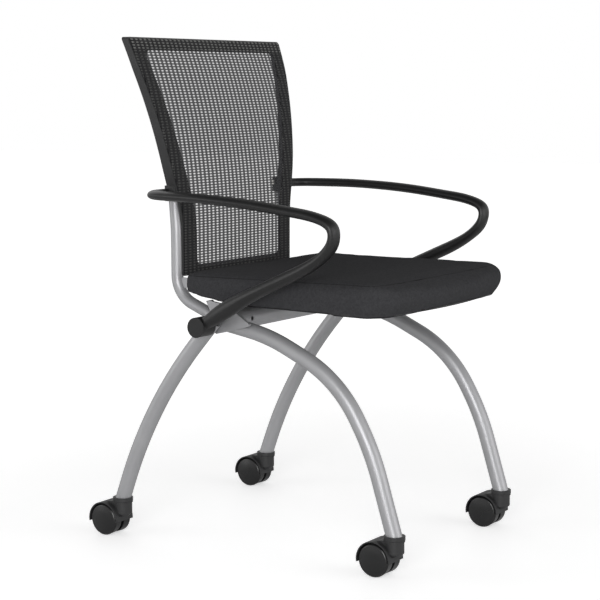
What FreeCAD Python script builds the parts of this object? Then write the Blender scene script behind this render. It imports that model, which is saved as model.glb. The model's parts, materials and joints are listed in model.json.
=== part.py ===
import FreeCAD, Part
import Sketcher
import math
import os

from FreeCAD import Placement, Rotation, Vector

# Nesting chair: arched tube legs on casters, flip-up seat, framed mesh back and loop arms.
# The chair faces -Y, its right side is -X, and the floor is z = 0. All sizes are millimetres.

doc = FreeCAD.newDocument("nesting_chair")

# Driving dimensions
dims = doc.addObject("Spreadsheet::Sheet", "dims")
SIZES = {
    "leg_dia": 28.5,
    "leg_wall": 2.0,
    "front_caster_y": -302.0,
    "rear_caster_y": 268.0,
    "leg_foot_z": 69.0,
    "front_leg_lean": 17.2,
    "rear_leg_lean": 20.5,
    "rear_leg_top_lean": 41.6,
    "hub_y": 58.0,
    "hub_z": 414.0,
    "upright_dia": 22.2,
    "upright_wall": 1.8,
    "upright_x": 173.3,
    "cross_tube_dia": 38.0,
    "cross_tube_wall": 2.5,
    "cross_tube_y": 33.0,
    "cross_tube_z": 421.0,
    "gusset_thick": 6.0,
    "hinge_y": 143.0,
    "hinge_z": 478.0,
    "hinge_pin_dia": 8.0,
    "lug_thick": 5.0,
    "seat_half_width": 237.0,
    "seat_front_y": -309.0,
    "seat_rear_y": 134.5,
    "seat_top_z": 507.0,
    "seat_skirt_z": 444.0,
    "back_bottom_z": 489.0,
    "back_top_z": 925.0,
    "back_face_y": 164.8,
    "back_blade_thick": 3.2,
    "back_curve_z": 575.0,
    "back_curve_radius": 900.0,
    "rail_width": 22.0,
    "mesh_thick": 1.2,
    "arm_top_z": 641.0,
    "boss_dia": 36.0,
    "wheel_dia": 60.0,
    "wheel_inner_x": 3.8,
    "wheel_outer_x": 26.5,
    "caster_trail": 30.0,
    "stem_dia": 11.0,
    "axle_dia": 6.0,
    "fit": 0.3,
    "running": 0.06,
}

# Sizes that follow from the driving ones: each tube stands beside the next with a small gap
FOLLOWING = {
    "upright_y": "back_face_y + back_blade_thick + upright_dia / 2 + 0.5",
    "front_leg_x": "upright_x + upright_dia / 2 + leg_dia / 2 + 0.35",
    "rear_leg_x": "front_leg_x + leg_dia + gusset_thick + 0.5",
    "arm_x": "rear_leg_x + leg_dia / 2 + 15.75",
    "boss_face_x": "arm_x + 12",
}
rules = {alias: str(number) for alias, number in SIZES.items()}
rules.update({alias: "=" + formula for alias, formula in FOLLOWING.items()})
for row, (alias, rule) in enumerate(rules.items(), start=1):
    dims.set("A%d" % row, alias)
    dims.setAlias("B%d" % row, alias)
    dims.set("B%d" % row, rule)
doc.recompute()

NODES = []


def value(expression):
    """The number that an expression on the sheet gives."""
    return float(dims.evalExpression(str(expression)))


def bind(feature, **formulas):
    """Tie properties of a feature to formulas on the sheet."""
    for name, formula in formulas.items():
        feature.setExpression(name, str(formula))
    return feature


def node(feature, label):
    """Mark a finished sub-part for export under its own name."""
    feature.Label = label
    NODES.append(feature)
    return feature


def turned(axis, degrees, x=0.0, y=0.0, z=0.0):
    return Placement(Vector(x, y, z), Rotation(axis, degrees))


X_AXIS = Vector(1, 0, 0)
Y_AXIS = Vector(0, 1, 0)
Z_AXIS = Vector(0, 0, 1)


# Building blocks made from primitives
def box(name, x0, x1, y0, y1, z0, z1):
    block = doc.addObject("Part::Box", name)
    bind(block, Length="(%s) - (%s)" % (x1, x0), Width="(%s) - (%s)" % (y1, y0),
         Height="(%s) - (%s)" % (z1, z0))
    block.Placement = Placement(Vector(value(x0), value(y0), value(z0)), Rotation())
    return block


def rod(name, radius, length, placement):
    cylinder = doc.addObject("Part::Cylinder", name)
    bind(cylinder, Radius=radius, Height=length)
    cylinder.Placement = placement
    return cylinder


def rod_x(name, radius, x0, x1, y, z):
    """A cylinder along X from x0 to x1."""
    return rod(name, radius, "(%s) - (%s)" % (x1, x0),
               turned(Y_AXIS, 90, value(x0), value(y), value(z)))


def rod_z(name, radius, z0, z1, x=0, y=0):
    return rod(name, radius, "(%s) - (%s)" % (z1, z0),
               Placement(Vector(value(x), value(y), value(z0)), Rotation()))


def fuse(name, *shapes):
    union = doc.addObject("Part::MultiFuse", name)
    union.Shapes = list(shapes)
    union.Refine = True
    return union


def cut(name, base, *tools):
    result = base
    for number, tool in enumerate(tools, start=1):
        step = doc.addObject("Part::Cut", "%s_%d" % (name, number))
        step.Base = result
        step.Tool = tool
        result = step
    return result


def common(name, *shapes):
    section = doc.addObject("Part::MultiCommon", name)
    section.Shapes = list(shapes)
    return section


def group(name, *shapes):
    """Separate solids kept side by side in one sub-part."""
    compound = doc.addObject("Part::Compound", name)
    compound.Links = list(shapes)
    return compound


# Sketches with rounded corners, every corner tied to the sheet
def corner_arcs(points, radii, closed):
    """Where each corner's arc starts and ends, with its centre and turning sense."""
    arcs = {}
    count = len(points)
    for index, radius in enumerate(radii):
        if radius is None:
            continue
        corner = points[index]
        before = (points[index - 1] - corner).normalize()
        after = (points[(index + 1) % count] - corner).normalize()
        half = before.getAngle(after) / 2
        reach = value(radius) / math.tan(half)
        middle = Vector(before + after).normalize()
        centre = corner + middle * (value(radius) / math.sin(half))
        turn = before.cross(after).z
        arcs[index] = (corner + before * reach, corner + after * reach, centre, turn)
    return arcs


def rounded_sketch(body, name, plane, corners, radii, closed=True, offset=0.0):
    """Lines joined by tangent arcs. A radius of None leaves that corner sharp."""
    sketch = body.newObject("Sketcher::SketchObject", name)
    origin_plane = [item for item in body.Origin.OriginFeatures if item.Role == plane][0]
    sketch.AttachmentSupport = [(origin_plane, "")]
    sketch.MapMode = "FlatFace"
    sketch.AttachmentOffset = Placement(Vector(0, 0, offset), Rotation())
    points = [Vector(value(a), value(b), 0) for a, b in corners]
    arcs = corner_arcs(points, radii, closed)
    count = len(points)
    fix = Sketcher.Constraint

    marks = []
    for index, point in enumerate(points):
        mark = sketch.addGeometry(Part.Point(point), True)
        across, up = corners[index]
        for kind, formula, number in (("DistanceX", across, point.x), ("DistanceY", up, point.y)):
            rule = sketch.addConstraint(fix(kind, -1, 1, mark, 1, number))
            sketch.setExpression("Constraints[%d]" % rule, str(formula))
        marks.append(mark)

    lines = []
    for index in range(count if closed else count - 1):
        after = (index + 1) % count
        start = arcs[index][1] if index in arcs else points[index]
        end = arcs[after][0] if after in arcs else points[after]
        lines.append(sketch.addGeometry(Part.LineSegment(start, end), False))

    for index in range(count):
        first = index - 1 if (closed or index > 0) else None
        second = index if index < len(lines) else None
        if index not in arcs:
            if first is not None:
                sketch.addConstraint(fix("Coincident", lines[first], 2, marks[index], 1))
            if second is not None:
                sketch.addConstraint(fix("Coincident", lines[second], 1, marks[index], 1))
            continue
        start, end, centre, turn = arcs[index]
        from_start = math.atan2(start.y - centre.y, start.x - centre.x)
        from_end = math.atan2(end.y - centre.y, end.x - centre.x)
        left_turn = turn < 0
        if left_turn:
            first_angle, last_angle = from_start, from_end
        else:
            first_angle, last_angle = from_end, from_start
        circle = Part.Circle(centre, Z_AXIS, value(radii[index]))
        arc = sketch.addGeometry(Part.ArcOfCircle(circle, first_angle, last_angle), False)
        enter, leave = (1, 2) if left_turn else (2, 1)
        sketch.addConstraint(fix("PointOnObject", marks[index], 1, lines[first]))
        sketch.addConstraint(fix("PointOnObject", marks[index], 1, lines[second]))
        sketch.addConstraint(fix("Tangent", lines[first], 2, arc, enter))
        sketch.addConstraint(fix("Tangent", arc, leave, lines[second], 1))
        rule = sketch.addConstraint(fix("Radius", arc, value(radii[index])))
        sketch.setExpression("Constraints[%d]" % rule, str(radii[index]))
    return sketch


def new_body(name):
    return doc.addObject("PartDesign::Body", name)


def slab(name, plane, corners, radii, length, offset=0.0, both=False):
    """A rounded outline extruded from its plane, as its own body."""
    body = new_body(name)
    sketch = rounded_sketch(body, name + "_outline", plane, corners, radii, True, offset)
    pad = body.newObject("PartDesign::Pad", name + "_pad")
    pad.Profile = sketch
    bind(pad, Length=length)
    pad.SideType = "Symmetric" if both else "One side"
    sketch.Visibility = False
    return body


def bent_tube(name, corners, radii, outer, wall, x):
    """A round tube swept along straight runs and tangent bends in a plane of constant X."""
    body = new_body(name)
    path = rounded_sketch(body, name + "_path", "YZ_Plane", corners, radii, closed=False)
    doc.recompute()
    section = body.newObject("Sketcher::SketchObject", name + "_section")
    section.AttachmentSupport = [(path, "Edge1")]
    section.MapMode = "NormalToEdge"
    section.MapPathParameter = 0.0
    rings = ["%s / 2" % outer]
    if wall:
        rings.append("%s / 2 - %s" % (outer, wall))
    for formula in rings:
        ring = section.addGeometry(Part.Circle(Vector(), Z_AXIS, value(formula)), False)
        section.addConstraint(Sketcher.Constraint("Coincident", ring, 3, -1, 1))
        rule = section.addConstraint(Sketcher.Constraint("Radius", ring, value(formula)))
        section.setExpression("Constraints[%d]" % rule, formula)
    doc.recompute()
    pipe = body.newObject("PartDesign::AdditivePipe", name + "_pipe")
    pipe.Profile = section
    pipe.Spine = (path, ["Edge%d" % (index + 1) for index in range(len(path.Shape.Edges))])
    body.Placement = Placement(Vector(x, 0, 0), Rotation())
    doc.recompute()
    return body


SIDES = (("right", -1), ("left", 1))


# Leg and upright centre lines, as corners of Y and Z with a bend radius at each inner corner
FRONT_RUN = [("dims.front_caster_y - 3.7", "57"),
             ("dims.front_caster_y + 44.4", "212.6"),
             ("dims.hub_y - 247.2", "dims.hub_z - 82.7"),
             ("dims.hub_y - 102.4", "dims.hub_z - 16.9"),
             ("dims.hub_y + 8", "dims.hub_z + 1.3")]
FRONT_BENDS = [None, "440", "235", "344", None]
REAR_RUN = [("dims.rear_caster_y + 4.5", "57"),
            ("dims.rear_caster_y - 70", "256.2"),
            ("dims.hub_y - 6.6", "dims.hub_z + 7.5")]
REAR_BENDS = [None, "860", None]
UPRIGHT_RUN = [("dims.hub_y - 8", "dims.hub_z - 12.3"),
               ("dims.upright_y", "453.6"),
               ("dims.upright_y", "575"),
               ("dims.upright_y + 4.6", "636")]
UPRIGHT_BENDS = [None, "54", "300", None]


def leg_tube(kind, side, sign, run, bends, x):
    """One leg, cut level at the foot and drilled for the arm bolt at the hub."""
    name = "%s_leg_tube_%s" % (kind, side)
    tube = bent_tube(name + "_bent", run, bends, "dims.leg_dia", "dims.leg_wall", sign * value(x))
    foot = box(name + "_foot", "-300", "300", "-400", "400", "0", "dims.leg_foot_z")
    bolt = rod_x(name + "_bolt_hole", "4.3", "-300", "300", "dims.hub_y", "dims.hub_z")
    return node(cut(name, tube, foot, bolt), name)


def upright_tube(side, sign):
    """The back's tube, coped at its lower end to the cross tube."""
    name = "back_upright_tube_%s" % side
    tube = bent_tube(name + "_bent", UPRIGHT_RUN, UPRIGHT_BENDS, "dims.upright_dia",
                     "dims.upright_wall", sign * value("dims.upright_x"))
    cope = rod_x(name + "_cope", "dims.cross_tube_dia / 2 + dims.fit", "-300", "300",
                 "dims.cross_tube_y", "dims.cross_tube_z")
    bolt = rod_x(name + "_bolt_room", "4.6", "-300", "300", "dims.hub_y", "dims.hub_z")
    return node(cut(name, tube, cope, bolt), name)


for side, sign in SIDES:
    leg_tube("front", side, sign, FRONT_RUN, FRONT_BENDS, "dims.front_leg_x")
    leg_tube("rear", side, sign, REAR_RUN, REAR_BENDS, "dims.rear_leg_x")
    upright_tube(side, sign)


# Cross tube, coped over both front legs, with a collar and a vent hole near each end
def cross_tube():
    reach = "(dims.front_leg_x + dims.leg_dia / 2)"
    y, z = "dims.cross_tube_y", "dims.cross_tube_z"
    pieces = [rod_x("cross_outer", "dims.cross_tube_dia / 2", "-" + reach, reach, y, z)]
    tools = [rod_x("cross_bore", "dims.cross_tube_dia / 2 - dims.cross_tube_wall",
                   "-%s - 1" % reach, reach + " + 1", y, z)]
    for side, sign in SIDES:
        ends = sorted(("%d * (%s - 24)" % (sign, reach), "%d * (%s - 6)" % (sign, reach)), key=value)
        pieces.append(rod_x("cross_ring_" + side, "dims.cross_tube_dia / 2 + 1.6", ends[0], ends[1], y, z))
        tools.append(bent_tube("cross_cope_" + side, FRONT_RUN, FRONT_BENDS, "(dims.leg_dia + 0.5)",
                               None, sign * value("dims.front_leg_x")))
        low = sorted(("%d * dims.front_leg_x" % sign, "%d * (%s + 1)" % (sign, reach)), key=value)
        tools.append(box("cross_low_" + side, low[0], low[1], y + " - 30", y + " + 30", z + " - 30",
                         z + " - 7"))
        tools.append(rod("cross_vent_" + side, "4.3", "30",
                         turned(X_AXIS, 90, sign * 168, value(y), value(z))))
    node(cut("seat_cross_tube", fuse("cross_body", *pieces), *tools), "seat_cross_tube")


cross_tube()


# Gusset plate between each front and rear leg, with a flange folded inward along its rear edge
def gusset(side, sign):
    name = "junction_gusset_%s" % side
    inner = value("dims.front_leg_x + dims.leg_dia / 2") + 0.25
    corners = [("dims.hub_y - 77", "dims.hub_z + 1.5"), ("dims.hub_y - 44", "dims.hub_z + 22"),
               ("dims.hub_y - 24", "dims.hub_z + 35"), ("dims.hub_y + 22", "dims.hub_z + 42"),
               ("dims.hub_y + 11", "dims.hub_z + 22.6"), ("dims.hub_y + 2", "dims.hub_z - 19"),
               ("dims.hub_y - 19", "dims.hub_z - 14")]
    radii = ["3", "20", "20", "4", "12", "4", "20"]
    offset = sign * inner + (0 if sign > 0 else -value("dims.gusset_thick"))
    plate = slab(name + "_plate", "YZ_Plane", corners, radii, "dims.gusset_thick", offset)
    fold = [("dims.hub_y + 18.8", "dims.hub_z + 40.5"), ("dims.hub_y + 22", "dims.hub_z + 40"),
            ("dims.hub_y + 12.6", "dims.hub_z + 23"), ("dims.hub_y + 9.4", "dims.hub_z + 25")]
    fold_offset = offset - (12 if sign > 0 else 0)
    flange = slab(name + "_flange", "YZ_Plane", fold, [None] * 4, "dims.gusset_thick + 12", fold_offset)
    bolt = rod_x(name + "_bolt", "4.3", "-300", "300", "dims.hub_y", "dims.hub_z")
    node(cut(name, fuse(name + "_folded", plate, flange), bolt), name)


# Hinge lug on the front of each upright, with its pin
def hinge(side, sign):
    name = "hinge_lug_%s" % side
    thick = value("dims.lug_thick")
    start = sign * value("dims.upright_x") - thick / 2
    corners = [("dims.hinge_y - 7.5", "dims.hinge_z - 7.5"), ("dims.hinge_y - 7.5", "dims.hinge_z + 7.5"),
               ("dims.upright_y - 3", "dims.hinge_z + 9"), ("dims.upright_y - 3", "dims.hinge_z - 12")]
    plate = slab(name + "_plate", "YZ_Plane", corners, ["7", "7", None, None],
                 "dims.lug_thick", start)
    tube = bent_tube(name + "_room", UPRIGHT_RUN, UPRIGHT_BENDS,
                     "(dims.upright_dia + 0.4)", None, sign * value("dims.upright_x"))
    hole = rod_x(name + "_hole", "dims.hinge_pin_dia / 2 + dims.running", "-300", "300",
                 "dims.hinge_y", "dims.hinge_z")
    node(cut(name, plate, tube, hole), name)

    middle = value("dims.upright_x")
    ends = sorted((sign * (middle - 9.8), sign * (middle + 5.2)))
    pin = rod_x("pin_shank_" + side, "dims.hinge_pin_dia / 2", ends[0], ends[1],
                "dims.hinge_y", "dims.hinge_z")
    head_ends = sorted((sign * (middle + 2.9), sign * (middle + 5.7)))
    head = rod_x("pin_head_" + side, "dims.hinge_pin_dia / 2 + 2.5", head_ends[0], head_ends[1],
                 "dims.hinge_y", "dims.hinge_z")
    node(fuse("pin_" + side, pin, head), "hinge_pin_%s" % side)


for side, sign in SIDES:
    gusset(side, sign)
    hinge(side, sign)


# Back frame: a front outline swept back along a curved side profile
BACK_OUTLINE = [("dims.back_bottom_z", 174.6), ("600", 175.5), ("690", 198.5),
                ("dims.back_top_z - 57", 234.0), ("dims.back_top_z", 240.5)]


def back_outline(inset, lift=0.0):
    """Corners of the front outline, right to left, in X and Z."""
    right = [("-(%s - %s)" % (x, inset), z) for z, x in BACK_OUTLINE]
    left = [("%s - %s" % (x, inset), z) for z, x in reversed(BACK_OUTLINE)]
    corners = right + left
    low = "%s + %s" % (BACK_OUTLINE[0][0], lift if lift else inset)
    high = "%s - %s" % (BACK_OUTLINE[-1][0], inset)
    top = len(right)
    corners[0] = (corners[0][0], low)
    corners[-1] = (corners[-1][0], low)
    corners[top - 1] = (corners[top - 1][0], high)
    corners[top] = (corners[top][0], high)
    return corners


def outline_radii(corner):
    half = [corner, "250", "600", "300", corner]
    return half + half[::-1]


def back_profile(name, front, rear_low, rear_high, width):
    """The side profile of the back, between a front and a rear face, extruded along X."""
    base = value("dims.back_face_y")
    radius = value("dims.back_curve_radius")
    bend = value("dims.back_curve_z")
    low = value("dims.back_bottom_z") - 10
    high = value("dims.back_top_z") + 10

    def at(height, shift, bend_radius):
        rise = max(0.0, height - bend)
        return Vector(0, base + shift + bend_radius - math.sqrt(bend_radius ** 2 - rise ** 2), height)

    knee_front = at(bend, front, radius)
    top_front = at(high, front, radius)
    middle_front = at((bend + high) / 2, front, radius)
    top_rear = at(high, rear_high, radius)
    middle_rear = at((bend + high) / 2, (rear_low + rear_high) / 2, radius)
    knee_rear = at(bend, rear_low, radius)
    edges = [Part.LineSegment(at(low, front, radius), knee_front),
             Part.Arc(knee_front, middle_front, top_front),
             Part.LineSegment(top_front, top_rear),
             Part.Arc(top_rear, middle_rear, knee_rear),
             Part.LineSegment(knee_rear, at(low, rear_low, radius)),
             Part.LineSegment(at(low, rear_low, radius), at(low, front, radius))]
    face = Part.Face(Part.Wire([edge.toShape() for edge in edges]))
    profile = doc.addObject("Part::Feature", name)
    profile.Shape = face.extrude(Vector(2 * width, 0, 0))
    profile.Placement = Placement(Vector(-width, 0, 0), Rotation())
    return profile


def back_frame():
    outer = slab("back_outer", "XZ_Plane", back_outline("0"), outline_radii("6"), "400", -400)
    inner = slab("back_inner", "XZ_Plane", back_outline("dims.rail_width", "18"),
                 outline_radii("8"), "400", -400)
    profile = back_profile("back_profile", 0.0, 23.0, 14.0, 300)
    blade_rear = "dims.back_face_y + dims.back_blade_thick"
    blade = slab("back_blade_room", "YZ_Plane",
                 [(blade_rear, "470"), (blade_rear, "580"), (blade_rear + " + 3.9", "656"),
                  ("260", "656"), ("260", "470")], [None] * 5, "600", 0, both=True)
    frame = cut("back_frame", common("back_solid", outer, profile), inner, blade)
    node(frame, "back_frame")

    panel = slab("mesh_outline", "XZ_Plane", back_outline("1.5"), outline_radii("5"), "400", -400)
    thickness = value("dims.mesh_thick")
    skin = back_profile("mesh_profile", -0.3 - thickness, -0.3, -0.3, 300)
    node(common("mesh", panel, skin), "back_mesh")


back_frame()


# Joint block behind each rail: the upright enters from below and the arm ends against its side
def joint_block(side, sign):
    name = "back_joint_block_%s" % side
    reach = "dims.upright_dia / 2"
    x0, x1 = sorted(("%d * (dims.upright_x - %s - 2.2)" % (sign, reach),
                     "%d * (dims.upright_x + %s + 2.1)" % (sign, reach)), key=value)
    y0, y1 = "dims.upright_y - %s + 3.7" % reach, "dims.upright_y + %s + 7.8" % reach
    corners = [(x0, y0), (x1, y0), (x1, y1), (x0, y1)]
    block = slab(name + "_body", "XY_Plane", corners, ["4"] * 4, "28.5", 627)
    lean = math.degrees(math.atan(4.6 / 61))
    bore = rod(name + "_bore", "dims.upright_dia / 2 + 0.25", "30",
               turned(X_AXIS, -lean, sign * value("dims.upright_x"),
                      value("dims.upright_y") + 4.6 - 22 * math.tan(math.radians(lean)), 636.4 - 22))
    bore.setExpression("Height", "22")
    screw = rod_x(name + "_screw", "2.8", "-200", "200", "192", "645.5")
    node(cut(name, block, bore, screw), name)
    inside = value("dims.upright_x - %s - 2.2" % reach)
    shank_ends = sorted((sign * (inside - 1), sign * (inside + 42)))
    head_ends = sorted((sign * (inside - 4), sign * (inside - 0.3)))
    shank = rod_x("arm_screw_shank_" + side, "2.5", shank_ends[0], shank_ends[1], "192", "645.5")
    head = rod_x("arm_screw_head_" + side, "4.75", head_ends[0], head_ends[1], "192", "645.5")
    node(fuse("arm_screw_" + side, shank, head), "arm_rear_screw_%s" % side)


# Arm: a moulded loop lofted through ellipses, from the hub forward, round and back to the block.
# Each station has x, y, z, the half width across X and the half depth.
ARM_STATIONS = [(264.0, 64.0, 410.2, 12.8, 12.8), (263.7, 33.0, 429.6, 13.0, 13.0),
                (263.0, -43.5, 473.4, 13.2, 12.4), (262.5, -123.7, 510.3, 13.6, 11.6),
                (262.9, -163.0, 528.8, 14.2, 11.0), (264.2, -199.5, 551.5, 15.0, 9.6),
                (266.4, -221.0, 577.0, 15.5, 8.8), (268.6, -221.5, 600.5, 15.5, 8.8),
                (269.6, -197.5, 614.8, 15.3, 8.8), (270.2, -145.0, 624.2, 15.0, 8.8),
                (272.0, -65.0, 633.4, 14.8, 8.7), (270.9, 15.0, 639.2, 14.5, 8.6),
                (266.2, 80.0, 641.6, 14.2, 8.5), (256.0, 142.0, 642.0, 14.0, 8.5),
                (243.5, 174.0, 642.0, 13.2, 8.4), (221.0, 189.5, 642.0, 11.0, 8.3),
                (190.0, 192.0, 642.0, 9.0, 8.2)]


def arm(side, sign):
    name = "arm_loop_%s" % side
    shift = value("dims.arm_x") - 264.0
    rise = value("dims.arm_top_z") - 641.0
    centres = []
    for x, y, z, across, deep in ARM_STATIONS:
        inward = x < 200
        centres.append(Vector(sign * (x + (0 if inward else shift)), y, z + (rise if z > 600 else 0)))
    sections = []
    for index, (centre, station) in enumerate(zip(centres, ARM_STATIONS)):
        before = centres[max(0, index - 1)]
        after = centres[min(len(centres) - 1, index + 1)]
        along = (after - before).normalize()
        if index == len(centres) - 1:
            along = Vector(-sign, 0, 0)
        flat = Vector(-sign * along.y, sign * along.x, 0) if index > 8 else Vector(sign, 0, 0)
        across = (flat - along * flat.dot(along)).normalize()
        ellipse = doc.addObject("Part::Ellipse", "%s_section_%d" % (name, index))
        bind(ellipse, MajorRadius=max(station[3], station[4] + 0.01), MinorRadius=station[4])
        ellipse.Placement = Placement(centre, Rotation(across, Vector(), along, "ZXY"))
        sections.append(ellipse)
    doc.recompute()
    loop = doc.addObject("Part::Loft", name + "_loft")
    loop.Sections = sections
    loop.Solid = True
    loop.Ruled = False

    ends = sorted(("%d * (dims.rear_leg_x + 10)" % sign, "%d * dims.boss_face_x" % sign), key=value)
    boss = rod_x(name + "_boss", "dims.boss_dia / 2", ends[0], ends[1], "dims.hub_y", "dims.hub_z")
    lean = value("dims.rear_leg_top_lean")
    saddle = rod(name + "_saddle", "dims.leg_dia / 2 + 0.25", "90",
                 turned(X_AXIS, lean, sign * value("dims.rear_leg_x"),
                        value("dims.hub_y") + 45 * math.sin(math.radians(lean)),
                        value("dims.hub_z") - 45 * math.cos(math.radians(lean))))
    bolt = rod_x(name + "_bolt", "4.3", "-300", "300", "dims.hub_y", "dims.hub_z")
    recess_ends = sorted(("%d * (dims.boss_face_x - 8)" % sign, "%d * (dims.boss_face_x + 14)" % sign),
                         key=value)
    recess = rod_x(name + "_recess", "11", recess_ends[0], recess_ends[1], "dims.hub_y", "dims.hub_z")
    face_ends = sorted(("%d * dims.boss_face_x" % sign, "%d * (dims.boss_face_x + 14)" % sign), key=value)
    face = rod_x(name + "_face", "dims.boss_dia / 2 + 0.5", face_ends[0], face_ends[1],
                 "dims.hub_y", "dims.hub_z")
    screw = rod_x(name + "_screw_bore", "2.6", "-204", "204", "192", "645.5")
    node(cut(name, fuse(name + "_body", loop, boss), saddle, bolt, recess, face, screw), name)

    cap_ends = sorted(("%d * (dims.boss_face_x + 0.2)" % sign, "%d * (dims.boss_face_x + 4)" % sign),
                      key=value)
    cap = rod_x("cap_face_" + side, "dims.boss_dia / 2", cap_ends[0], cap_ends[1],
                "dims.hub_y", "dims.hub_z")
    plug_ends = sorted(("%d * (dims.boss_face_x - 2.5)" % sign, "%d * (dims.boss_face_x + 1)" % sign),
                       key=value)
    plug = rod_x("cap_plug_" + side, "10.7", plug_ends[0], plug_ends[1], "dims.hub_y", "dims.hub_z")
    node(fuse("cap_" + side, cap, plug), "arm_hub_cap_%s" % side)

    outside = value("dims.boss_face_x")
    shank_ends = sorted((sign * value("dims.front_leg_x - 9"), sign * (outside - 7.8)))
    shank = rod_x("bolt_shank_" + side, "4", shank_ends[0], shank_ends[1], "dims.hub_y", "dims.hub_z")
    head_ends = sorted((sign * (outside - 7.8), sign * (outside - 3)))
    head = rod_x("bolt_head_" + side, "7", head_ends[0], head_ends[1], "dims.hub_y", "dims.hub_z")
    node(fuse("bolt_" + side, shank, head), "arm_bolt_%s" % side)


for side, sign in SIDES:
    joint_block(side, sign)
    arm(side, sign)


# Seat: one outline in plan, one from the side and one from the front, kept where all three meet
def seat_plan(name, inset, z0, height):
    wide = "(dims.seat_half_width - %s)" % inset
    rear = "(dims.seat_rear_y - %s)" % inset
    front = "(dims.seat_front_y + %s)" % inset
    corners = [("-" + wide + " + 6", rear), ("-" + wide, "dims.hub_y - 60"), ("-" + wide, front + " + 12"),
               ("0", front + " - 10"), (wide, front + " + 12"), (wide, "dims.hub_y - 60"),
               (wide + " - 6", rear)]
    radii = ["38", "600", "64", "900", "64", "600", "38"]
    return slab(name, "XY_Plane", corners, radii, height, z0)


def seat_line(lift):
    """The seat's underside from front to rear, raised by lift."""
    return [("dims.seat_front_y - 40", "dims.seat_skirt_z - 0.5 + %s" % lift),
            ("dims.hub_y - 60", "dims.seat_skirt_z + 3 + %s" % lift),
            ("dims.seat_rear_y + 40", "dims.seat_skirt_z + 30 + %s" % lift)]


def seat():
    plan = seat_plan("cushion_plan", "0", 400, "140")
    side_corners = [("dims.seat_front_y - 10", "dims.seat_skirt_z - 0.2"),
                    ("dims.hub_y - 60", "dims.seat_skirt_z + 3"),
                    ("dims.seat_rear_y", "dims.seat_skirt_z + 25"),
                    ("dims.seat_rear_y", "dims.seat_top_z - 2"),
                    ("-60", "dims.seat_top_z - 4"),
                    ("dims.seat_front_y + 60", "dims.seat_top_z + 3"),
                    ("dims.seat_front_y - 10", "dims.seat_top_z - 12")]
    side_radii = ["22", "300", "8", "20", "900", "120", "30"]
    side = slab("cushion_side", "YZ_Plane", side_corners, side_radii, "520", 0, both=True)
    front_corners = [("-dims.seat_half_width + 12", "400"), ("-dims.seat_half_width", "480"),
                     ("-dims.seat_half_width", "dims.seat_top_z - 3"), ("0", "dims.seat_top_z + 1"),
                     ("dims.seat_half_width", "dims.seat_top_z - 3"), ("dims.seat_half_width", "480"),
                     ("dims.seat_half_width - 12", "400")]
    front_radii = [None, "60", "16", "900", "16", "60", None]
    front = slab("cushion_front", "XZ_Plane", front_corners, front_radii, "900", 0, both=True)
    recess_plan = seat_plan("recess_plan", "13", 400, "140")
    top = seat_line("9")
    recess_side = slab("recess_side", "YZ_Plane", top + [(top[2][0], "400"), (top[0][0], "400")],
                       [None, "300", None, None, None], "520", 0, both=True)
    recess = common("cushion_recess", recess_plan, recess_side)
    node(cut("cushion", common("cushion_solid", plan, side, front), recess), "seat_cushion")

    pan_plan = seat_plan("pan_plan", "13.4", 400, "140")
    low = seat_line("3.5")
    high = seat_line("8.7")
    pan_side = slab("pan_side", "YZ_Plane", low + list(reversed(high)),
                    [None, "300", None, None, "300", None], "520", 0, both=True)
    node(common("pan", pan_plan, pan_side), "seat_pan")


seat()


# Hinge arms under the pan, rest pads on the cross tube and the screws that hold the arms
def seat_iron():
    slope = (value("dims.seat_skirt_z + 30") - value("dims.seat_skirt_z + 3"))
    slope = slope / (value("dims.seat_rear_y + 40") - value("dims.hub_y - 60"))

    def under(y, drop):
        """Height under the pan at y, lowered by drop."""
        return value("dims.seat_skirt_z + 3 + 3.5") + slope * (y - value("dims.hub_y - 60")) - drop

    screws = []
    for side, sign in SIDES:
        name = "seat_hinge_arm_%s" % side
        x0, x1 = sorted((sign * 164.0, sign * 168.0))
        corners = [(50, under(50, 0.3)), (112, under(112, 0.3)), (119, under(119, 6.5)),
                   (129, under(129, 8)), (135.3, under(129, 4)),
                   ("dims.hinge_y - 7.5", "dims.hinge_z + 7.5"), ("dims.hinge_y + 7.5", "dims.hinge_z + 7.5"),
                   ("dims.hinge_y + 7.5", "dims.hinge_z - 12"), (138, under(138, 17)),
                   (50, under(50, 10))]
        radii = [None, None, None, None, None, "7", "7", "14", "8", "4"]
        web = slab(name + "_web", "YZ_Plane", corners, radii, "4", x0)
        flange_corners = [(50, under(50, 0.3)), (112, under(112, 0.3)),
                          (112, under(112, 4.3)), (50, under(50, 4.3))]
        f0, f1 = sorted((sign * 140.0, sign * 168.0))
        flange = slab(name + "_flange", "YZ_Plane", flange_corners, [None] * 4, "28", f0)
        hole = rod_x(name + "_hole", "dims.hinge_pin_dia / 2 + dims.running", "-300", "300",
                     "dims.hinge_y", "dims.hinge_z")
        node(cut(name, fuse(name + "_folded", web, flange), hole), name)
        for y in (64, 98):
            screws.append(rod_z("seat_screw_%s_%d" % (side, y), "5", under(y, 7.6), under(y, 5.4),
                                sign * 152, y))
    node(group("screws", *screws), "seat_screws")

    pads = []
    for side, sign in SIDES:
        x0, x1 = sorted((sign * 105.0, sign * 135.0))
        pad_box = box("pad_box_" + side, x0, x1, "dims.cross_tube_y - 11", "dims.cross_tube_y + 11",
                      "dims.cross_tube_z + 8", under(22, 0.6))
        tube = rod_x("pad_room_" + side, "dims.cross_tube_dia / 2 + 0.2", "-300", "300",
                     "dims.cross_tube_y", "dims.cross_tube_z")
        pads.append(cut("pad_" + side, pad_box, tube))
    node(group("pads", *pads), "seat_rest_pads")


seat_iron()


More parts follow.
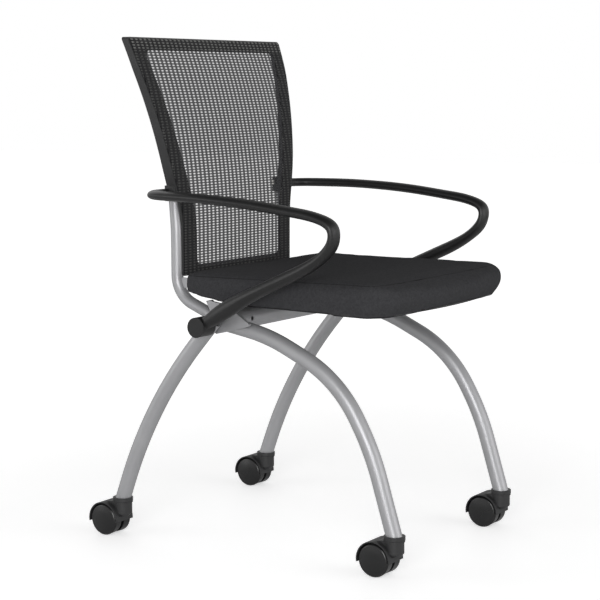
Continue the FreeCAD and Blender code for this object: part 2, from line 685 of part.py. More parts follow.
# Casters: a ferrule in the leg's foot, a stem, a hood on the stem, and two wheels on an axle
def ferrule(name, x, y, lean):
    z = value("dims.leg_foot_z")

    def leaning(part, radius, start, length):
        tilt = turned(X_AXIS, lean, x, y, z)
        return rod(part, radius, length, tilt.multiply(Placement(Vector(0, 0, start), Rotation())))

    disc = rod_z(name + "_disc", "dims.leg_dia / 2 + 4.6", "dims.leg_foot_z - 2.6",
                 "dims.leg_foot_z - 0.3", x, y)
    lip = rod_z(name + "_lip", "dims.leg_dia / 2 + 4.6", "dims.leg_foot_z - 0.3",
                "dims.leg_foot_z + 4", x, y)
    room = leaning(name + "_room", "dims.leg_dia / 2 + 0.3", -20, "60")
    lip_ring = cut(name + "_ring", lip, room)
    plug = leaning(name + "_plug", "dims.leg_dia / 2 - dims.leg_wall - 0.3", -20, "52")
    plug_room = box(name + "_plug_room", x - 40, x + 40, y - 40, y + 40, "20", "dims.leg_foot_z - 2.6")
    bore = rod_z(name + "_bore", "dims.stem_dia / 2 + 0.2", "40", "81", x, y)
    solid = fuse(name + "_solid", disc, lip_ring, cut(name + "_plug_cut", plug, plug_room))
    node(cut(name, solid, bore), name)


def caster(place, x, y, lean):
    ferrule("leg_ferrule_" + place, x, y, lean)
    node(rod_z("stem_" + place, "dims.stem_dia / 2", "51.5", "80.5", x, y), "caster_stem_" + place)

    hub_y = "%s + dims.caster_trail" % y
    hub_z = "dims.wheel_dia / 2"
    name = "hood_" + place
    shell = rod_x(name + "_shell", "dims.wheel_dia / 2 + 3.2", x - 24, x + 24, hub_y, hub_z)
    skirt = slab(name + "_skirt", "YZ_Plane",
                 [("%s + 70" % y, "24"), ("%s + 70" % y, "80"), ("%s - 20" % y, "80"),
                  ("%s - 20" % y, "29")], [None] * 4, "60", x - 30)
    fender = common(name + "_fender", shell, skirt)
    crown = slab(name + "_crown", "YZ_Plane",
                 [("%s - 4" % y, "46"), ("%s - 4" % y, "65.4"), ("%s + 20" % y, "65.4"),
                  ("%s + 52" % y, "56"), ("%s + 40" % y, "46")], [None, "3", "40", "5", None],
                 "28", x - 14)
    boss = rod_z(name + "_boss", "17", "43", "65.4", x, y)
    collar = rod_z(name + "_collar", "18.4", "63.2", "65.8", x, y)
    nose = doc.addObject("Part::Cone", name + "_nose")
    bind(nose, Radius1="11", Radius2="17", Height="6")
    nose.Placement = Placement(Vector(x, y, 37), Rotation())
    web_foot = rod_x(name + "_foot", "9", x - 3.2, x + 3.2, hub_y, hub_z)
    solid = fuse(name + "_solid", fender, crown, boss, collar, nose, web_foot)
    room = "(dims.wheel_dia / 2 + 1.2)"
    inner_room = rod_x(name + "_room_a", room, x - 40, x - 3.2, hub_y, hub_z)
    outer_room = rod_x(name + "_room_b", room, x + 3.2, x + 40, hub_y, hub_z)
    stem_bore = rod_z(name + "_stem", "dims.stem_dia / 2 + dims.running", "51.2", "90", x, y)
    axle_bore = rod_x(name + "_axle", "dims.axle_dia / 2 + 0.05", x - 40, x + 40, hub_y, hub_z)
    node(cut(name, solid, inner_room, outer_room, stem_bore, axle_bore), "caster_hood_" + place)
    node(rod_x("axle_" + place, "dims.axle_dia / 2", x - 20.7, x + 20.7, hub_y, hub_z),
         "caster_axle_" + place)

    outward = 1 if x > 0 else -1
    for which, sign in (("outer", outward), ("inner", -outward)):
        wheel(place, which, x, sign, hub_y, hub_z)


def wheel(place, which, x, sign, hub_y, hub_z):
    """A wheel with a flat tread and a closed dome outside, turned about its axle."""
    name = "wheel_%s_%s" % (place, which)
    body = new_body(name)
    radius = "dims.wheel_dia / 2"
    inner = "dims.wheel_inner_x"
    outer = "dims.wheel_outer_x"
    bore = "dims.axle_dia / 2 + 0.05"
    corners = [(inner, bore), (inner, radius + " - 1"), (outer + " - 6.5", radius),
               (outer + " - 3", radius + " - 3.2"), (outer + " - 0.3", "dims.wheel_dia / 5"), (outer, "0"),
               (outer + " - 5.5", "0"), (outer + " - 5.5", bore)]
    profile = rounded_sketch(body, name + "_profile", "XY_Plane", corners,
                             [None, "1", "2.5", "3", "dims.wheel_dia / 0.6", None, None, None])
    turn = body.newObject("PartDesign::Revolution", name + "_turn")
    turn.Profile = profile
    turn.ReferenceAxis = (profile, ["H_Axis"])
    turn.Angle = 360
    body.Placement = Placement(Vector(x, value(hub_y), value(hub_z)),
                               Rotation(Z_AXIS, 0 if sign > 0 else 180))
    node(body, "caster_wheel_%s_%s" % (place, which))


for side, sign in SIDES:
    caster("front_" + side, sign * value("dims.front_leg_x"), value("dims.front_caster_y"),
           -value("dims.front_leg_lean"))
    caster("rear_" + side, sign * value("dims.rear_leg_x"), value("dims.rear_caster_y"),
           value("dims.rear_leg_lean"))

doc.recompute()

# Every object is checked before anything is written
for item in doc.Objects:
    if "Invalid" in item.State or "Error" in item.State:
        raise RuntimeError("%s did not compute: %s" % (item.Name, item.State))
for part in NODES:
    if part.Shape.isNull() or not part.Shape.isValid() or not part.Shape.Solids:
        raise RuntimeError("%s has no valid solid" % part.Label)

os.makedirs("parts", exist_ok=True)
for part in NODES:
    part.Shape.exportStep("parts/%s.step" % part.Label)
    print(part.Label, len(part.Shape.Solids), round(part.Shape.Volume))
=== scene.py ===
import json
import math

import bmesh
import bpy
from mathutils import Matrix, Vector
from mathutils.bvhtree import BVHTree


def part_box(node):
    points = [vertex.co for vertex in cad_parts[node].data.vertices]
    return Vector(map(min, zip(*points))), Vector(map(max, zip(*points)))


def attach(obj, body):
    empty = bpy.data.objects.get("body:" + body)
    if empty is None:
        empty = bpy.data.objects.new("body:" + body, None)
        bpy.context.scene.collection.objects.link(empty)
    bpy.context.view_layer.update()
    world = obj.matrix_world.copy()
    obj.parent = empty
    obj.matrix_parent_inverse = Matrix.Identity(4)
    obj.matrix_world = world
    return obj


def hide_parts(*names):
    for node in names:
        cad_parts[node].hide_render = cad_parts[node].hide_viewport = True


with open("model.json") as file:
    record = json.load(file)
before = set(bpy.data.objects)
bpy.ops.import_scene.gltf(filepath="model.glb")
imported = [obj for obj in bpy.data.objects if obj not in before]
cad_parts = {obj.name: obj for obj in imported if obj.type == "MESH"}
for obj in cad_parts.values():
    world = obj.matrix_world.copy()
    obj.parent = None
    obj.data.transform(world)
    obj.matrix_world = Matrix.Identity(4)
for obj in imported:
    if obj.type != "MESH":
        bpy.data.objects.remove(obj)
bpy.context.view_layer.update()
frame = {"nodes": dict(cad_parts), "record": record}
nodes = frame["nodes"]


# Node helpers for the materials
class Shader:
    """A node material with a Principled surface and short calls for its nodes."""

    def __init__(self, name, color, roughness, metallic=0.0):
        self.material = bpy.data.materials.new(name)
        self.material.use_nodes = True
        self.tree = self.material.node_tree
        self.surface = self.tree.nodes["Principled BSDF"]
        self.surface.inputs["Base Color"].default_value = (*color, 1)
        self.surface.inputs["Roughness"].default_value = roughness
        self.surface.inputs["Metallic"].default_value = metallic
        self.place = self.tree.nodes.new("ShaderNodeTexCoord").outputs["Object"]

    def node(self, kind, **values):
        made = self.tree.nodes.new(kind)
        for key, value in values.items():
            setattr(made, key, value)
        return made

    def link(self, source, target):
        self.tree.links.new(source, target)

    def math(self, operation, first, second=None, third=None):
        made = self.tree.nodes.new("ShaderNodeMath")
        made.operation = operation
        for index, value in enumerate((first, second, third)):
            if value is None:
                continue
            if isinstance(value, (int, float)):
                made.inputs[index].default_value = value
            else:
                self.link(value, made.inputs[index])
        return made.outputs[0]

    def axes(self):
        split = self.node("ShaderNodeSeparateXYZ")
        self.link(self.place, split.inputs[0])
        return split.outputs

    def noise(self, scale, detail=3.0, roughness=0.5):
        made = self.node("ShaderNodeTexNoise")
        made.inputs["Scale"].default_value = scale
        made.inputs["Detail"].default_value = detail
        made.inputs["Roughness"].default_value = roughness
        self.link(self.place, made.inputs["Vector"])
        return made.outputs["Fac"]

    def spread(self, value, low, high, start=0.0, end=1.0):
        """value from low to high mapped to start to end, and held there."""
        made = self.node("ShaderNodeMapRange")
        made.inputs["From Min"].default_value = low
        made.inputs["From Max"].default_value = high
        made.inputs["To Min"].default_value = start
        made.inputs["To Max"].default_value = end
        self.link(value, made.inputs["Value"])
        return made.outputs["Result"]

    def tint(self, value, dark, light):
        """Colour the surface between two tones."""
        ramp = self.node("ShaderNodeMix", data_type="RGBA")
        ramp.inputs["A"].default_value = (*dark, 1)
        ramp.inputs["B"].default_value = (*light, 1)
        self.link(value, ramp.inputs["Factor"])
        self.link(ramp.outputs["Result"], self.surface.inputs["Base Color"])
        return ramp.outputs["Result"]

    def rough(self, value, low, high):
        self.link(self.spread(value, 0.3, 0.7, low, high), self.surface.inputs["Roughness"])

    def bump(self, height, distance, strength=1.0):
        made = self.node("ShaderNodeBump")
        made.inputs["Distance"].default_value = distance
        made.inputs["Strength"].default_value = strength
        self.link(height, made.inputs["Height"])
        self.link(made.outputs["Normal"], self.surface.inputs["Normal"])


def wave(shader, axis, pitch):
    """0 on the lines between threads and 1 along the middle of each, pitch apart."""
    turn = shader.math("MULTIPLY", axis, math.pi / pitch)
    return shader.math("ABSOLUTE", shader.math("SINE", turn))


# The knit's cell and the threads in it, across and up, and the seat cloth's threads
CELL = (0.0125, 0.0051)
KNIT_THREAD = (0.00208, 0.0017)
SEAT_THREAD = 0.0011


def knit_cell(shader, x, z):
    """1 in the middle of each cell of the knit and 0 along its edges."""
    return shader.math("MULTIPLY", wave(shader, x, CELL[0]), wave(shader, z, CELL[1]))


def silver_paint():
    """Metallic lacquer: fine fleck over a slow change of tone."""
    paint = Shader("silver_paint", (0.34, 0.34, 0.35), 0.40, 0.40)
    fleck = paint.noise(2600, 2)
    cloud = paint.noise(14, 3)
    both = paint.math("MULTIPLY_ADD", fleck, 0.35, paint.math("MULTIPLY", cloud, 0.65))
    paint.tint(both, (0.30, 0.30, 0.31), (0.40, 0.40, 0.41))
    paint.rough(cloud, 0.36, 0.44)
    paint.bump(paint.noise(900, 2), 0.00004, 0.5)
    return paint.material


def moulded(name, tone, roughness, grain=1500, depth=0.00006, shine=0.5):
    """Moulded plastic with a fine spark-eroded grain and slight handling wear."""
    plastic = Shader(name, (tone, tone, tone * 1.03), roughness)
    plastic.surface.inputs["Specular IOR Level"].default_value = shine
    cloud = plastic.noise(22, 4)
    low, high = tone * 0.82, tone * 1.25
    plastic.tint(cloud, (low, low, low * 1.03), (high, high, high * 1.03))
    plastic.rough(plastic.noise(9, 5), roughness - 0.06, roughness + 0.07)
    plastic.bump(plastic.noise(grain, 3), depth, 0.6)
    return plastic.material


def plated_steel():
    """Zinc plating on screws, pins and axles."""
    steel = Shader("plated_steel", (0.55, 0.54, 0.50), 0.32, 1.0)
    steel.tint(steel.noise(60, 4), (0.48, 0.47, 0.44), (0.62, 0.61, 0.58))
    steel.rough(steel.noise(220, 3), 0.26, 0.42)
    return steel.material


def rubber():
    """Dull rubber with a fine pitted surface."""
    black = Shader("rubber", (0.02, 0.02, 0.02), 0.8)
    black.tint(black.noise(40, 3), (0.014, 0.014, 0.015), (0.028, 0.028, 0.03))
    black.bump(black.noise(800, 2), 0.0001, 0.5)
    return black.material


def upholstery():
    """A close plain weave: crossing threads, and a slight heather in their colour."""
    cloth = Shader("upholstery", (0.022, 0.022, 0.024), 0.88)
    x, y, z = cloth.axes()
    across = wave(cloth, x, SEAT_THREAD)
    along = wave(cloth, cloth.math("ADD", y, z), SEAT_THREAD)
    weave = cloth.math("MAXIMUM", across, along)
    mottle = cloth.noise(420, 4, 0.6)
    heather = cloth.noise(170, 3, 0.7)
    mixed = cloth.math("MULTIPLY_ADD", mottle, 0.5, cloth.math("MULTIPLY", heather, 0.5))
    cloth.tint(cloth.spread(mixed, 0.30, 0.70), (0.028, 0.028, 0.030), (0.047, 0.047, 0.050))
    height = cloth.math("MULTIPLY_ADD", weave, 0.6, mottle)
    cloth.bump(height, 0.00035, 0.55)
    cloth.surface.inputs["Specular IOR Level"].default_value = 0.0
    cloth.surface.inputs["Sheen Weight"].default_value = 0.02
    cloth.surface.inputs["Sheen Roughness"].default_value = 0.6
    return cloth.material


def hem_cloth():
    """The folded border of the net: ribs and rows of thread, and the knit's cells as flecks.

    Its upper run is thin enough for the cells to show well, and most along its top rim.
    """
    cloth = Shader("hem_cloth", (0.02, 0.02, 0.022), 0.85)
    x, y, z = cloth.axes()
    ribs = wave(cloth, x, 0.0042)
    rows = wave(cloth, z, 0.0026)
    mottle = cloth.noise(650, 3, 0.6)
    mixed = cloth.math("MULTIPLY", cloth.math("MULTIPLY", ribs, rows), mottle)
    cells = cloth.spread(knit_cell(cloth, x, z), 0.45, 0.95)
    flecks = cloth.math("MULTIPLY", cells, cloth.spread(z, 0.900, 0.905, 0.3, 1.0))
    rim = cloth.math("MULTIPLY", cloth.spread(z, 0.9215, 0.9230), wave(cloth, x, CELL[0]))
    shown = cloth.math("MAXIMUM", flecks, rim)
    woven = cloth.math("MULTIPLY_ADD", cloth.spread(mixed, 0.1, 0.6), 0.25, shown)
    cloth.tint(woven, (0.005, 0.005, 0.006), (0.15, 0.15, 0.145))
    cloth.bump(cloth.math("MULTIPLY_ADD", ribs, 0.5, mottle), 0.0004, 0.6)
    cloth.surface.inputs["Specular IOR Level"].default_value = 0.15
    cloth.surface.inputs["Sheen Weight"].default_value = 0.05
    return cloth.material


def net_cloth():
    """Open knit: fine threads, drawn apart into an opening in the middle of each cell."""
    cloth = Shader("net_cloth", (0.03, 0.03, 0.032), 0.8)
    x, y, z = cloth.axes()
    thread_x = wave(cloth, x, KNIT_THREAD[0])
    thread_z = wave(cloth, z, KNIT_THREAD[1])
    gap = cloth.math("MULTIPLY", cloth.math("MULTIPLY", thread_x, thread_z), 0.20)
    opening = cloth.math("MULTIPLY_ADD", knit_cell(cloth, x, z), 0.80, gap)
    cloth.tint(cloth.noise(500, 3), (0.018, 0.018, 0.020), (0.050, 0.050, 0.053))
    cloth.bump(cloth.math("MAXIMUM", thread_x, thread_z), 0.0003, 0.6)
    cloth.surface.inputs["Specular IOR Level"].default_value = 0.15
    solid = cloth.spread(opening, 0.46, 0.90, 0.96, 0.17)
    cloth.link(solid, cloth.surface.inputs["Alpha"])
    return cloth.material


def thread_cloth(name, dark, light):
    """Sewing thread or cord, uneven in tone along its length."""
    thread = Shader(name, (dark, dark, dark), 0.8)
    thread.surface.inputs["Specular IOR Level"].default_value = 0.1
    thread.tint(thread.noise(900, 2), (dark, dark, dark * 1.04), (light, light, light * 1.04))
    return thread.material


MATERIALS = {
    "silver_paint": silver_paint(),
    "plated_steel": plated_steel(),
    "black_steel": moulded("black_steel", 0.016, 0.42, 1200, 0.00004),
    "black_rubber": rubber(),
    "arm_black": moulded("arm_black", 0.009, 0.40, 1800, 0.00003, 0.4),
    "black_plastic": moulded("black_plastic", 0.024, 0.50, 1500, 0.00005, 0.35),
    "caster_black": moulded("caster_black", 0.007, 0.24, 1500, 0.00002, 0.5),
}
UPHOLSTERY = upholstery()
HEM = hem_cloth()
NET = net_cloth()
THREAD = thread_cloth("stitch_thread", 0.045, 0.10)
CORD = thread_cloth("seam_cord", 0.008, 0.018)

# CAD nodes keep their shape and take a finished material by their slot
slots = {item["node"]: item["material_slot"] for item in frame["record"]["subparts"]}
for name, item in nodes.items():
    if slots[name] in MATERIALS:
        item.data.materials.clear()
        item.data.materials.append(MATERIALS[slots[name]])


def mesh_object(name, bm, material, smooth=True):
    """A new object in the scene from what was modelled."""
    mesh = bpy.data.meshes.new(name)
    bm.to_mesh(mesh)
    bm.free()
    mesh.materials.append(material)
    for face in mesh.polygons:
        face.use_smooth = smooth
    made = bpy.data.objects.new(name, mesh)
    bpy.context.scene.collection.objects.link(made)
    return made


# The back's shape, as in the CAD: a straight foot, then one arc that leans back
FACE_Y = 0.1648
KNEE_Z = 0.575
ARC = 0.900
BACK_EDGE = ((0.489, 0.1746), (0.600, 0.1755), (0.690, 0.1985), (0.868, 0.2340), (0.925, 0.2405))
BACK_LOW, BACK_HIGH = BACK_EDGE[0][0], BACK_EDGE[-1][0]

# The net stops a little short of the frame's edge, with its corners rounded
NET_LOW, NET_HIGH = 0.4905, 0.9235
NET_TRIM = 0.0025
CORNER = 0.005

# The net's border is wide at the sides, narrower at the top and least at the bottom
TOP_BORDER = 0.022
BOTTOM_BORDER = 0.013
STITCH = 0.0042


def back_y(z):
    """The front face of the back's frame at height z."""
    rise = max(0.0, z - KNEE_Z)
    return FACE_Y + ARC - math.sqrt(ARC * ARC - rise * rise)


def back_half_width(z):
    """Half the back's width at height z, rounded off where the outline's runs meet."""
    total = 0.0
    for step in range(-4, 5):
        height = min(max(z + step * 0.007, BACK_LOW), BACK_HIGH)
        for (z0, x0), (z1, x1) in zip(BACK_EDGE, BACK_EDGE[1:]):
            if height <= z1:
                total += x0 + (x1 - x0) * (height - z0) / (z1 - z0)
                break
    return total / 9


def back_sheet():
    """The stretched net, one layer of cloth just in front of the frame."""
    rows, columns = 96, 72
    bm = bmesh.new()
    grid = []
    for row in range(rows + 1):
        z = NET_LOW + (NET_HIGH - NET_LOW) * row / rows
        half = back_half_width(z) - NET_TRIM
        trim = min(z - NET_LOW, NET_HIGH - z)
        if trim < CORNER:
            half -= CORNER - math.sqrt(CORNER ** 2 - (CORNER - trim) ** 2)
        line = []
        for column in range(columns + 1):
            x = half * (2 * column / columns - 1)
            line.append(bm.verts.new((x, back_y(z) - 0.0009, z)))
        grid.append(line)
    for row in range(rows):
        for column in range(columns):
            bm.faces.new((grid[row][column], grid[row][column + 1],
                          grid[row + 1][column + 1], grid[row + 1][column]))
    sheet = mesh_object("back_net", bm, NET)
    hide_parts("back_mesh")
    return sheet


def side_border(z):
    """Width of the border at the sides, which widens downwards."""
    return 0.031 + 0.008 * min(1.0, max(0.0, (0.92 - z) / 0.37))


def hem_loop(t, count=80):
    """A closed line in the border: t is 0 at the net's edge and 1 at the border's inner edge."""
    low, high = NET_LOW + t * BOTTOM_BORDER, NET_HIGH - t * TOP_BORDER
    corner = CORNER + 0.012 * t

    def side(z):
        return back_half_width(z) - NET_TRIM - t * side_border(z)

    half = []
    for index in range(count + 1):
        half.append((side(low) - corner) * index / count)
    points = [(x, low) for x in half[:-1]]
    points += bend(side(low) - corner, low + corner, corner, -90)
    for index in range(1, count):
        z = low + corner + (high - low - 2 * corner) * index / count
        points.append((side(z), z))
    points += bend(side(high) - corner, high - corner, corner, 0)
    points += [((side(high) - corner) * (1 - index / count), high) for index in range(1, count)]
    mirrored = [(-x, z) for x, z in reversed(points) if x > 0]
    return points + [(0.0, high)] + mirrored


def bend(x, z, radius, start):
    """A quarter turn of nine points about a corner's centre."""
    points = []
    for index in range(9):
        angle = math.radians(start + 90 * index / 8)
        points.append((x + radius * math.cos(angle), z + radius * math.sin(angle)))
    return points


def back_hem():
    """The sewn border, folded over the frame's face: a low rounded band with a turned edge."""
    profile = ((0.0, 0.0016), (0.0, -0.0008), (0.04, -0.0018), (0.15, -0.0022), (0.55, -0.0023),
               (0.80, -0.0020), (0.87, -0.0014), (0.93, -0.0020), (0.985, -0.0014), (1.0, 0.0002))
    bm = bmesh.new()
    rings = []
    for t, lift in profile:
        rings.append([bm.verts.new((x, back_y(z) - 0.0004 + lift, z)) for x, z in hem_loop(t)])
    for here, there in zip(rings, rings[1:]):
        for index in range(len(here)):
            after = (index + 1) % len(here)
            bm.faces.new((here[index], here[after], there[after], there[index]))
    bmesh.ops.recalc_face_normals(bm, faces=bm.faces)
    return mesh_object("back_hem", bm, HEM)


def back_stitches():
    """Two rows of stitches along the border."""
    bm = bmesh.new()
    for t in (0.30, 0.87):
        points = [Vector((x, back_y(z) - 0.0024, z)) for x, z in hem_loop(t, 240)]
        dash, start = 0.0, points[0]
        for here, there in zip(points, points[1:] + points[:1]):
            dash += (there - here).length
            if dash >= STITCH:
                add_stitch(bm, start, here)
                start, dash = there, 0.0
    return mesh_object("back_stitches", bm, THREAD)


def add_stitch(bm, start, end, radius=0.00045):
    """A short thread, thin at both ends where it dives into the cloth."""
    along = (end - start)
    if along.length < 0.001:
        return
    turn = along.to_track_quat("Z", "Y").to_matrix()
    rings = []
    for t, swell, dive in ((0.06, 0.5, 0.9), (0.3, 1.0, 0.1), (0.7, 1.0, 0.1), (0.94, 0.5, 0.9)):
        middle = start.lerp(end, t)
        middle.y += dive * radius
        ring = []
        for k in range(5):
            angle = 2 * math.pi * k / 5
            offset = turn @ Vector((math.cos(angle), math.sin(angle), 0)) * radius * swell
            ring.append(bm.verts.new(middle + offset))
        rings.append(ring)
    for first, second in zip(rings, rings[1:]):
        for k in range(5):
            bm.faces.new((first[k], first[(k + 1) % 5], second[(k + 1) % 5], second[k]))
    bm.faces.new(reversed(rings[0]))
    bm.faces.new(rings[-1])


net = back_sheet()
hem = back_hem()
stitches = back_stitches()
for piece in (net, hem, stitches):
    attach(piece, "frame")


# Seat cushion: the CAD solid, shrunk a little, swollen as cloth, shaped, then seamed
SEAT_MIDDLE_Y = -0.087
SHRINK = (0.993, 0.993, 0.985)
VOXEL, QUICK_VOXEL = 0.0055, 0.009
SWELL_CAP = 0.005


def cushion():
    """The padded seat as one closed skin."""
    source = nodes["seat_cushion"]
    pad = bpy.data.objects.new("seat_pad", source.data.copy())
    bpy.context.scene.collection.objects.link(pad)
    low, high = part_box("seat_cushion")
    centre = (low + high) / 2
    shrink = Matrix.Diagonal((*SHRINK, 1))
    pad.data.transform(Matrix.Translation(centre) @ shrink @ Matrix.Translation(-centre))
    pad.data.materials.clear()
    pad.data.materials.append(UPHOLSTERY)
    bpy.context.view_layer.objects.active = pad
    remesh = pad.modifiers.new("remesh", "REMESH")
    remesh.mode = "VOXEL"
    remesh.voxel_size = VOXEL
    apply_modifiers(pad)
    swell(pad, SWELL_CAP)
    barrel(pad, centre.y)
    smooth = pad.modifiers.new("smooth", "SMOOTH")
    smooth.factor = 0.5
    smooth.iterations = 3
    subdivide = pad.modifiers.new("subdivide", "SUBSURF")
    subdivide.levels = 1
    apply_modifiers(pad)
    for face in pad.data.polygons:
        face.use_smooth = True
    return pad


def climb(value, start, length):
    """0 at the start, rising to 1 over the length and held there."""
    return min(1.0, max(0.0, (value - start) / length))


def barrel(item, middle):
    """Round the sides: tuck them in below and above, most at the front, and press down the top."""
    for vertex in item.data.vertices:
        place = vertex.co
        under = climb(-place.z, -0.480, 0.036) ** 2
        over = climb(place.z, 0.484, 0.024) ** 2
        forward = min(0.0, place.y - middle)
        place.x *= 1.003 - 0.030 * under - 0.012 * over
        place.y += forward * (0.036 - 0.100 * under - 0.045 * over)
        place.z -= 0.0035 * climb(place.z, 0.470, 0.020)


def apply_modifiers(item):
    """Replace the mesh by what its modifiers make of it."""
    depsgraph = bpy.context.evaluated_depsgraph_get()
    made = bpy.data.meshes.new_from_object(item.evaluated_get(depsgraph))
    item.modifiers.clear()
    old = item.data
    item.data = made
    bpy.data.meshes.remove(old)


def swell(item, cap):
    """Inflate as cloth without gravity, and hold every point within cap of its start.

    The underside and the rear, which lie against the pan and the back, move a tenth as far.
    """
    start = [(vertex.co.copy(), vertex.normal.copy()) for vertex in item.data.vertices]
    cloth = item.modifiers.new("cloth", "CLOTH")
    cloth.settings.use_pressure = True
    cloth.settings.uniform_pressure_force = 4
    cloth.settings.effector_weights.gravity = 0
    cloth.settings.quality = 5
    cloth.point_cache.frame_start = 1
    cloth.point_cache.frame_end = 20
    scene = bpy.context.scene
    for number in range(1, 21):
        scene.frame_set(number)
    apply_modifiers(item)
    scene.frame_set(1)
    for vertex, (before, normal) in zip(item.data.vertices, start):
        move = vertex.co - before
        if move.length > cap:
            move = move * (cap / move.length)
        if normal.z < -0.4 or before.y > 0.118:
            move = move * 0.1
        vertex.co = before + move


pad = cushion()
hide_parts("seat_cushion")
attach(pad, "seat")


def seat_loop(height, count=260):
    """Points round the cushion's side at the height for each Y, or at the first side above it."""
    surface = BVHTree.FromPolygons([vertex.co for vertex in pad.data.vertices],
                                   [face.vertices for face in pad.data.polygons])
    points = []
    for index in range(count):
        angle = 2 * math.pi * index / count
        toward = Vector((-math.cos(angle), -math.sin(angle), 0))
        outside = Vector((0, SEAT_MIDDLE_Y, 0.490)) - toward * 0.5
        side = surface.ray_cast(outside, toward)[0]
        start = side - toward * 0.03
        for lift in range(40):
            start.z = height(side.y) + lift * 0.001
            place, normal, _, _ = surface.ray_cast(start, toward, 0.055)
            if place is not None and normal.z > -0.8:
                points.append((place, normal))
                break
    return points


def seat_cord(name, height, radius, sink):
    """A thin round cord laid along the cushion's side and sunk a little into it."""
    loop = seat_loop(height)
    bm = bmesh.new()
    rings = []
    for index, (place, normal) in enumerate(loop):
        along = (loop[(index + 1) % len(loop)][0] - loop[index - 1][0]).normalized()
        out = (normal - along * normal.dot(along)).normalized()
        up = along.cross(out)
        middle = place - out * sink
        ring = []
        for k in range(8):
            angle = 2 * math.pi * k / 8
            offset = (out * math.cos(angle) + up * math.sin(angle)) * radius
            ring.append(bm.verts.new(middle + offset))
        rings.append(ring)
    for first, second in zip(rings, rings[1:] + rings[:1]):
        for k in range(8):
            bm.faces.new((first[k], first[(k + 1) % 8], second[(k + 1) % 8], second[k]))
    bmesh.ops.recalc_face_normals(bm, faces=bm.faces)
    cord = mesh_object(name, bm, CORD)
    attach(cord, "seat")


def seam_height(y):
    """The seam at the cushion's upper edge, which climbs slightly to the front."""
    return 0.4975 + 0.004 * climb(-y, -0.13, 0.43)


def skirt_height(y):
    """Just above the cushion's lower edge, which climbs behind the middle."""
    return 0.4475 + 0.022 * max(0.0, (y + 0.002) / 0.1365)


seat_cord("seat_seam", seam_height, 0.0009, 0.0006)
seat_cord("seat_welt", skirt_height, 0.0013, 0.0008)


# Floor, light and camera
FLOOR_REACH = 14.0
LAMPS = (("key", (-3.4, -1.6, 1.2), 1.8, 76), ("fill", (0.6, -3.6, 0.9), 2.8, 44),
         ("back", (1.6, 2.8, 2.4), 1.6, 7), ("side", (-2.2, 2.7, 1.0), 1.4, 12))


def whiten(floor):
    """To the camera the floor is white paper that keeps only its shadows."""
    glow = floor.node("ShaderNodeEmission")
    x, y, z = floor.axes()
    square = floor.math("ADD", floor.math("MULTIPLY", x, x), floor.math("MULTIPLY", y, y))
    away = floor.math("SQRT", square)
    glow.inputs["Color"].default_value = (1, 1, 1, 1)
    floor.link(floor.spread(away, 0.6, 2.4, 0.50, 0.75), glow.inputs["Strength"])
    plain = floor.surface.outputs["BSDF"]
    paler = floor.node("ShaderNodeAddShader")
    floor.link(plain, paler.inputs[0])
    floor.link(glow.outputs[0], paler.inputs[1])
    seen = floor.node("ShaderNodeLightPath")
    mix = floor.node("ShaderNodeMixShader")
    floor.link(seen.outputs["Is Camera Ray"], mix.inputs[0])
    floor.link(plain, mix.inputs[1])
    floor.link(paler.outputs[0], mix.inputs[2])
    floor.link(mix.outputs[0], floor.tree.nodes["Material Output"].inputs["Surface"])


def stage():
    """A pale floor, the lamps and the studio round them."""
    bm = bmesh.new()
    corners = [bm.verts.new((x * FLOOR_REACH, y * FLOOR_REACH, 0.0)) for x, y in
               ((-1, -1), (1, -1), (1, 1), (-1, 1))]
    bm.faces.new(corners)
    floor = Shader("floor", (0.86, 0.86, 0.86), 0.6)
    floor.tint(floor.noise(0.8, 2), (0.85, 0.85, 0.85), (0.87, 0.87, 0.87))
    whiten(floor)
    ground = mesh_object("floor", bm, floor.material, smooth=False)
    studio()
    for name, place, size, power in LAMPS:
        lamp(name, place, size, power)


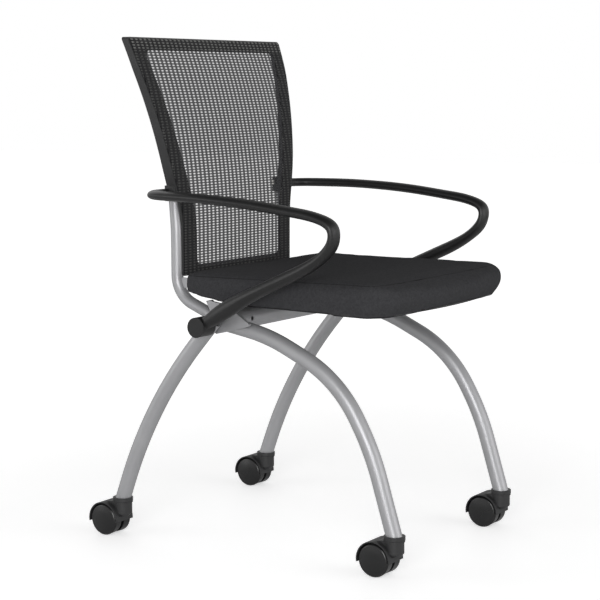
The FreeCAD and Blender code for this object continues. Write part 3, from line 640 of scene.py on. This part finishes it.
def studio():
    """Light that comes mostly from low down, in front of a plain white backdrop."""
    world = bpy.data.worlds.new("studio")
    bpy.context.scene.world = world
    world.use_nodes = True
    tree = world.node_tree
    link = tree.links.new
    lit = tree.nodes["Background"]
    lit.inputs["Color"].default_value = (1, 1, 1, 1)
    toward = tree.nodes.new("ShaderNodeTexCoord")
    split = tree.nodes.new("ShaderNodeSeparateXYZ")
    link(toward.outputs["Generated"], split.inputs[0])
    dimmer = tree.nodes.new("ShaderNodeMapRange")
    for key, value in (("From Min", 0.1), ("From Max", 0.9), ("To Min", 0.95), ("To Max", 0.06)):
        dimmer.inputs[key].default_value = value
    link(split.outputs["Z"], dimmer.inputs["Value"])
    link(dimmer.outputs["Result"], lit.inputs["Strength"])
    seen = tree.nodes.new("ShaderNodeBackground")
    seen.inputs["Color"].default_value = (1, 1, 1, 1)
    seen.inputs["Strength"].default_value = 1.0
    path = tree.nodes.new("ShaderNodeLightPath")
    either = tree.nodes.new("ShaderNodeMath")
    either.operation = "MAXIMUM"
    link(path.outputs["Is Camera Ray"], either.inputs[0])
    link(path.outputs["Is Transmission Ray"], either.inputs[1])
    mix = tree.nodes.new("ShaderNodeMixShader")
    link(either.outputs[0], mix.inputs[0])
    link(lit.outputs[0], mix.inputs[1])
    link(seen.outputs[0], mix.inputs[2])
    link(mix.outputs[0], tree.nodes["World Output"].inputs["Surface"])


def lamp(name, place, size, power):
    """A square soft lamp turned to the middle of the chair."""
    light = bpy.data.lights.new(name, "AREA")
    light.size = size
    light.energy = power
    made = bpy.data.objects.new(name, light)
    made.location = place
    aim = Vector((0, 0, 0.45)) - Vector(place)
    made.rotation_euler = aim.to_track_quat("-Z", "Y").to_euler()
    bpy.context.scene.collection.objects.link(made)


# The photograph's camera, found from the chair's own mirror symmetry, lengths in pixels
PHOTO = 600
FOCAL = 1689.785
CENTRE = (318.0237, 293.8678)
FILM = 36
CAMERA_PLACE = (-2.62596, -1.73415, 0.83548)
AZIMUTH, ELEVATION, ROLL = -0.991667, 0.122245, -0.002579


def camera():
    """The camera where the photographer stood, with its angles in radians."""
    back = Vector((math.sin(AZIMUTH) * math.cos(ELEVATION),
                   -math.cos(AZIMUTH) * math.cos(ELEVATION), math.sin(ELEVATION)))
    right = (-back).cross(Vector((0, 0, 1))).normalized()
    up = right.cross(-back)
    turned_right = math.cos(ROLL) * right + math.sin(ROLL) * up
    turned_up = -math.sin(ROLL) * right + math.cos(ROLL) * up
    data = bpy.data.cameras.new("camera")
    data.sensor_width = FILM
    data.lens = FOCAL / PHOTO * FILM
    data.shift_x = (PHOTO / 2 - CENTRE[0]) / PHOTO
    data.shift_y = (CENTRE[1] - PHOTO / 2) / PHOTO
    made = bpy.data.objects.new("camera", data)
    rotation = Matrix((turned_right, turned_up, back)).transposed().to_4x4()
    made.matrix_world = Matrix.Translation(CAMERA_PLACE) @ rotation
    bpy.context.scene.collection.objects.link(made)
    bpy.context.scene.camera = made


stage()
camera()
bpy.context.scene.view_settings.view_transform = "Standard"
